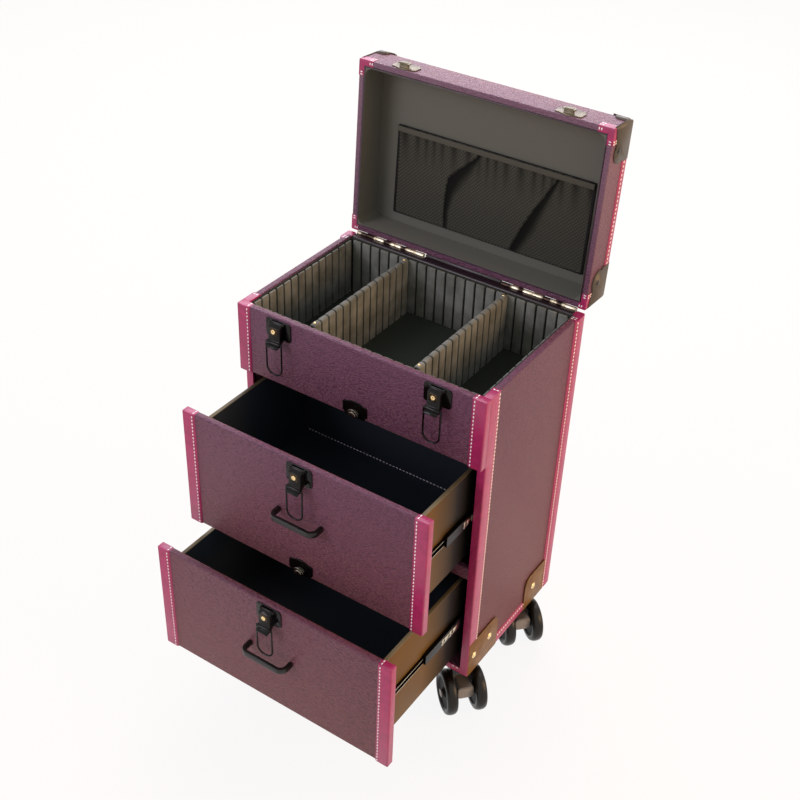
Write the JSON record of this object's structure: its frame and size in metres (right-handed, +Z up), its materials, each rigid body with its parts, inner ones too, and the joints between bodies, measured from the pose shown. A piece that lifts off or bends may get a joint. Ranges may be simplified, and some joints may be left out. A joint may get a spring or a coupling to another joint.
{
  "type": "makeup train case",
  "caption": "Upright makeup train case on swivel casters, with a hinged lid, a divided top compartment, two drawers on telescopic slides and keyed draw latches.",
  "frame": {"origin": "on the floor, under the middle of the closed case", "axes": "+X to the right, -Y out of the fronts, +Z up; the lid and both drawers are open as drawn"},
  "size_m": [0.3699, 0.4846, 0.7379],
  "materials": {
    "case_leather": "board covered in pebbled eggplant artificial leather",
    "trim_leather": "smooth magenta artificial leather with pale stitching",
    "lining_fabric": "padded grey fabric over foam",
    "mesh_fabric": "black net with elastic edge",
    "brass": "polished",
    "black_metal": "black enamel, satin",
    "slide_steel": "black zinc",
    "hinge_steel": "bright zinc",
    "drawer_board": "board covered in smooth black foil",
    "corner_plastic": "moulded, satin",
    "handle_grip": "moulded black",
    "caster_plastic": "moulded black"
  },
  "bodies": {
    "case": {"left_side_panel": "case_leather", "right_side_panel": "case_leather", "back_panel": "case_leather", "apron": "case_leather", "compartment_floor": "case_leather", "drawer_rail": "case_leather", "bottom_panel": "case_leather", "case_bindings": "trim_leather", "compartment_lining": "lining_fabric", "dividers": "lining_fabric", "divider_studs": "brass", "corner_patches": "corner_plastic", "apron_latch_plates": "black_metal", "hinge_lower_leaves": "hinge_steel", "slide_outer_members": "slide_steel", "caster_plates": "hinge_steel"},
    "lid": {"lid_shell": "case_leather", "lid_bindings": "trim_leather", "lid_lining": "lining_fabric", "mesh_pocket": "mesh_fabric", "lid_keepers": "black_metal", "lid_corners": "corner_plastic", "hinge_upper_leaves": "hinge_steel", "handle_brackets": "hinge_steel"},
    "carry_handle": {"carry_handle": "handle_grip"},
    "drawer_1": {"drawer_1_front": "case_leather", "drawer_1_box": "drawer_board", "drawer_1_bindings": "trim_leather", "drawer_1_handle": "black_metal", "drawer_1_latch_base": "black_metal", "drawer_1_inner_slides": "slide_steel", "drawer_1_keeper": "black_metal"},
    "drawer_1_middle": {"drawer_1_middle_slides": "slide_steel"},
    "drawer_2": {"drawer_2_front": "case_leather", "drawer_2_box": "drawer_board", "drawer_2_bindings": "trim_leather", "drawer_2_handle": "black_metal", "drawer_2_latch_base": "black_metal", "drawer_2_inner_slides": "slide_steel"},
    "drawer_2_middle": {"drawer_2_middle_slides": "slide_steel"},
    "left_lever": {"left_latch_lever": "black_metal", "left_latch_lock": "brass"},
    "left_bail": {"left_latch_bail": "black_metal"},
    "right_lever": {"right_latch_lever": "black_metal", "right_latch_lock": "brass"},
    "right_bail": {"right_latch_bail": "black_metal"},
    "drawer_1_lever": {"drawer_1_latch_lever": "black_metal", "drawer_1_latch_lock": "brass"},
    "drawer_1_bail": {"drawer_1_latch_bail": "black_metal"},
    "drawer_2_lever": {"drawer_2_latch_lever": "black_metal", "drawer_2_latch_lock": "brass"},
    "drawer_2_bail": {"drawer_2_latch_bail": "black_metal"},
    "front_left_caster": {"front_left_swivel": "caster_plastic"},
    "front_left_wheel_pair": {"front_left_wheels": "caster_plastic"},
    "front_right_caster": {"front_right_swivel": "caster_plastic"},
    "front_right_wheel_pair": {"front_right_wheels": "caster_plastic"},
    "back_left_caster": {"back_left_swivel": "caster_plastic"},
    "back_left_wheel_pair": {"back_left_wheels": "caster_plastic"},
    "back_right_caster": {"back_right_swivel": "caster_plastic"},
    "back_right_wheel_pair": {"back_right_wheels": "caster_plastic"}
  },
  "joints": [
    {"name": "lid_hinge", "type": "hinge", "parent": "case", "child": "lid", "pos_m": [0, 0.115, 0.504], "axis": [-1, 0, 0], "range_deg": [-93.3, 0]},
    {"name": "carry_handle_pivot", "type": "hinge", "parent": "lid", "child": "carry_handle", "pos_m": [0, 0.18012, 0.61544], "axis": [1, 0, 0], "range_deg": [0, 180]},
    {"name": "drawer_1_slide", "type": "slide", "parent": "case", "child": "drawer_1", "axis": [0, -1, 0], "range_m": [-0.1055, 0.0945]},
    {"name": "drawer_1_middle_slide", "type": "slide", "parent": "case", "child": "drawer_1_middle", "axis": [0, -1, 0], "range_m": [-0.05275, 0.04725]},
    {"name": "drawer_2_slide", "type": "slide", "parent": "case", "child": "drawer_2", "axis": [0, -1, 0], "range_m": [-0.1665, 0.0335]},
    {"name": "drawer_2_middle_slide", "type": "slide", "parent": "case", "child": "drawer_2_middle", "axis": [0, -1, 0], "range_m": [-0.08325, 0.01675]},
    {"name": "left_lever_hinge", "type": "hinge", "parent": "case", "child": "left_lever", "pos_m": [-0.11, -0.1156, 0.4985], "axis": [-1, 0, 0], "range_deg": [0, 110]},
    {"name": "left_bail_pivot", "type": "hinge", "parent": "left_lever", "child": "left_bail", "pos_m": [-0.11, -0.1225, 0.4755], "axis": [1, 0, 0], "range_deg": [-188.7, 0]},
    {"name": "right_lever_hinge", "type": "hinge", "parent": "case", "child": "right_lever", "pos_m": [0.11, -0.1156, 0.4985], "axis": [-1, 0, 0], "range_deg": [0, 110]},
    {"name": "right_bail_pivot", "type": "hinge", "parent": "right_lever", "child": "right_bail", "pos_m": [0.11, -0.1225, 0.4755], "axis": [1, 0, 0], "range_deg": [-188.7, 0]},
    {"name": "drawer_1_lever_hinge", "type": "hinge", "parent": "drawer_1", "child": "drawer_1_lever", "pos_m": [0, -0.2211, 0.4035], "axis": [-1, 0, 0], "range_deg": [0, 110]},
    {"name": "drawer_1_bail_pivot", "type": "hinge", "parent": "drawer_1_lever", "child": "drawer_1_bail", "pos_m": [0, -0.228, 0.3805], "axis": [1, 0, 0], "range_deg": [-188.7, 0]},
    {"name": "drawer_2_lever_hinge", "type": "hinge", "parent": "drawer_2", "child": "drawer_2_lever", "pos_m": [0, -0.2821, 0.2355], "axis": [-1, 0, 0], "range_deg": [0, 110]},
    {"name": "drawer_2_bail_pivot", "type": "hinge", "parent": "drawer_2_lever", "child": "drawer_2_bail", "pos_m": [0, -0.289, 0.2125], "axis": [1, 0, 0], "range_deg": [-188.7, 0]},
    {"name": "front_left_caster_swivel", "type": "hinge", "parent": "case", "child": "front_left_caster", "pos_m": [-0.1385, -0.072, 0.069], "axis": [0, 0, 1], "continuous": true},
    {"name": "front_left_wheel_spin", "type": "hinge", "parent": "front_left_caster", "child": "front_left_wheel_pair", "pos_m": [-0.11737, -0.09037, 0.03], "axis": [0.6561, 0.7547, 0], "continuous": true},
    {"name": "front_right_caster_swivel", "type": "hinge", "parent": "case", "child": "front_right_caster", "pos_m": [0.1385, -0.072, 0.069], "axis": [0, 0, 1], "continuous": true},
    {"name": "front_right_wheel_spin", "type": "hinge", "parent": "front_right_caster", "child": "front_right_wheel_pair", "pos_m": [0.15963, -0.09037, 0.03], "axis": [0.6561, 0.7547, 0], "continuous": true},
    {"name": "back_left_caster_swivel", "type": "hinge", "parent": "case", "child": "back_left_caster", "pos_m": [-0.1385, 0.0765, 0.069], "axis": [0, 0, 1], "continuous": true},
    {"name": "back_left_wheel_spin", "type": "hinge", "parent": "back_left_caster", "child": "back_left_wheel_pair", "pos_m": [-0.11737, 0.05813, 0.03], "axis": [0.6561, 0.7547, 0], "continuous": true},
    {"name": "back_right_caster_swivel", "type": "hinge", "parent": "case", "child": "back_right_caster", "pos_m": [0.1385, 0.0765, 0.069], "axis": [0, 0, 1], "continuous": true},
    {"name": "back_right_wheel_spin", "type": "hinge", "parent": "back_right_caster", "child": "back_right_wheel_pair", "pos_m": [0.15963, 0.05813, 0.03], "axis": [0.6561, 0.7547, 0], "continuous": true}
  ],
  "couplings": [
    {"joint": "drawer_1_middle_slide", "follows": "drawer_1_slide", "ratio": 0.5},
    {"joint": "drawer_2_middle_slide", "follows": "drawer_2_slide", "ratio": 0.5}
  ]
}
